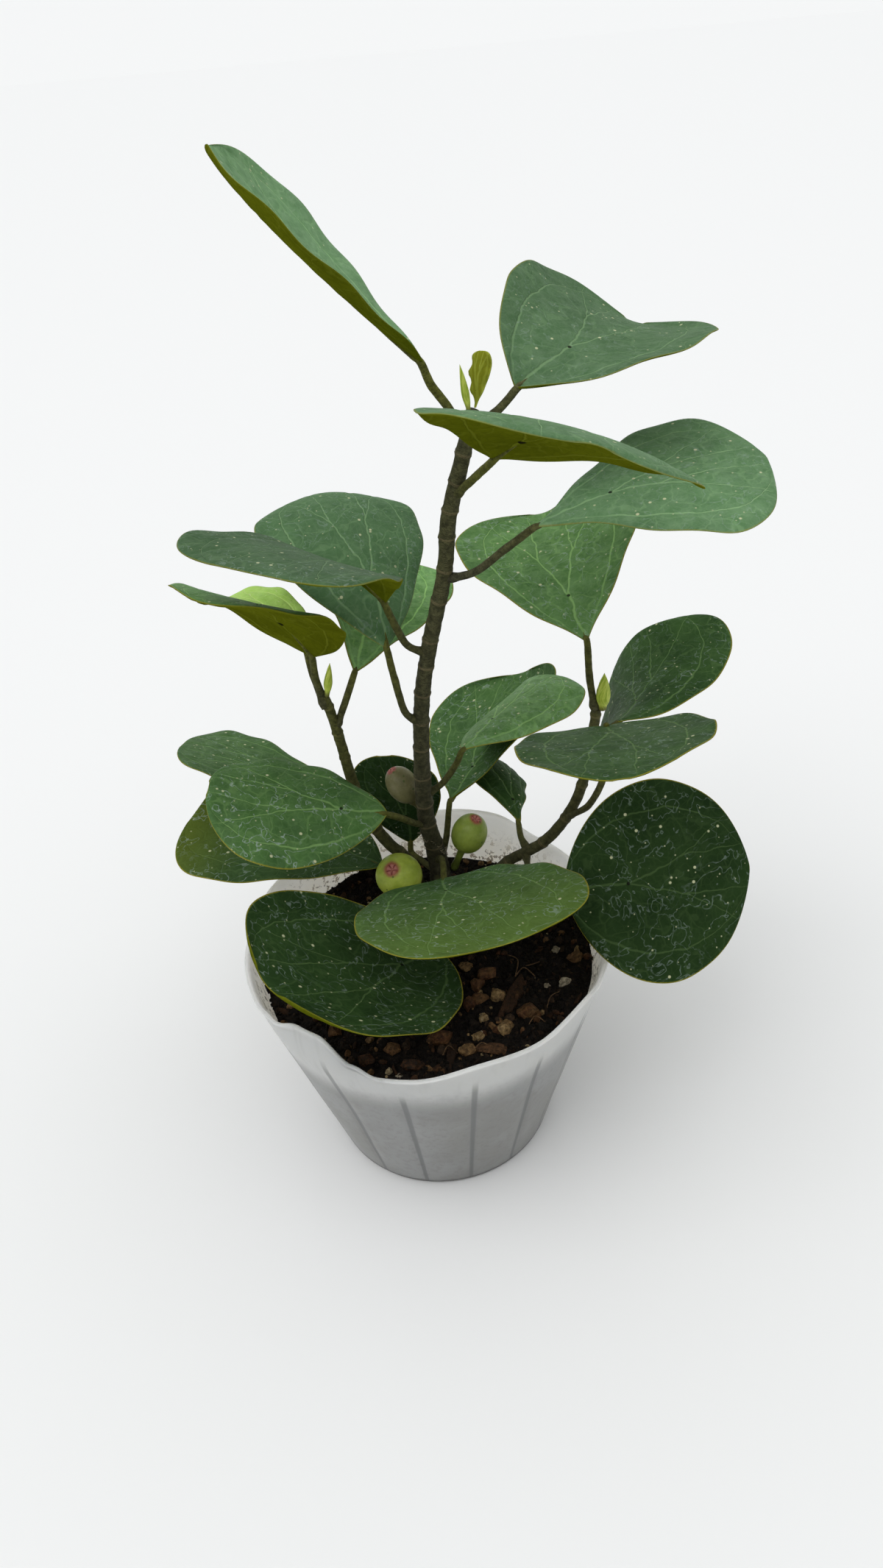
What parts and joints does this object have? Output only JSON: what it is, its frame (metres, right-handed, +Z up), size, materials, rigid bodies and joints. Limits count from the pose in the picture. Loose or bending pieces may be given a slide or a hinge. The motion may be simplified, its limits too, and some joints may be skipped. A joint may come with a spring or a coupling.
{
  "type": "potted ficus",
  "caption": "Small mistletoe fig with thick wedge-shaped leaves and round figs on a woody trunk and two side branches, in a soft white nursery pot with a wavy rim.",
  "frame": {"origin": "centre of the pot's round base, on the surface that the pot stands on", "axes": "+Z up from the pot's base to the top leaf; -Y towards the side that the picture was taken from"},
  "size_m": [0.1953, 0.1751, 0.3081],
  "materials": {
    "pot_plastic": "thin soft white plastic, slightly translucent, satin",
    "growing_medium": "dark chunky bark and soil mix with stones and white grains, matt",
    "bark": "rough brown-grey bark with ring scars, matt",
    "leaf_grey_green": "thick leathery blade with a greyish bloom over blue-green, satin",
    "leaf_green": "thick leathery dark green blade, fairly glossy, with pale mineral marks",
    "young_leaf": "young light yellow-green leaf tissue, satin",
    "fig_skin": "smooth yellow-green to pinkish fig skin with a red mouth, satin"
  },
  "bodies": {
    "root": {"pot": "pot_plastic", "soil": "growing_medium", "trunk": "bark", "branch_left": "bark", "branch_right": "bark", "leaf_a": "leaf_grey_green", "leaf_b": "leaf_grey_green", "leaf_c": "leaf_grey_green", "leaf_d": "leaf_grey_green", "leaf_e": "leaf_grey_green", "leaf_f": "leaf_grey_green", "leaf_g": "leaf_green", "leaf_h": "leaf_green", "leaf_i": "leaf_grey_green", "leaf_j": "leaf_green", "leaf_k": "young_leaf", "leaf_l": "leaf_green", "leaf_m": "leaf_green", "leaf_n": "leaf_green", "leaf_o": "leaf_green", "leaf_p": "leaf_green", "leaf_q": "leaf_green", "leaf_r": "leaf_green", "leaf_s": "leaf_green", "leaf_t": "leaf_green", "leaf_u": "leaf_green", "leaf_v": "leaf_green", "leaf_young": "young_leaf", "bud_top": "young_leaf", "bud_left": "young_leaf", "bud_right": "young_leaf", "fig_1": "fig_skin", "fig_2": "fig_skin", "fig_3": "fig_skin"}
  },
  "joints": []
}
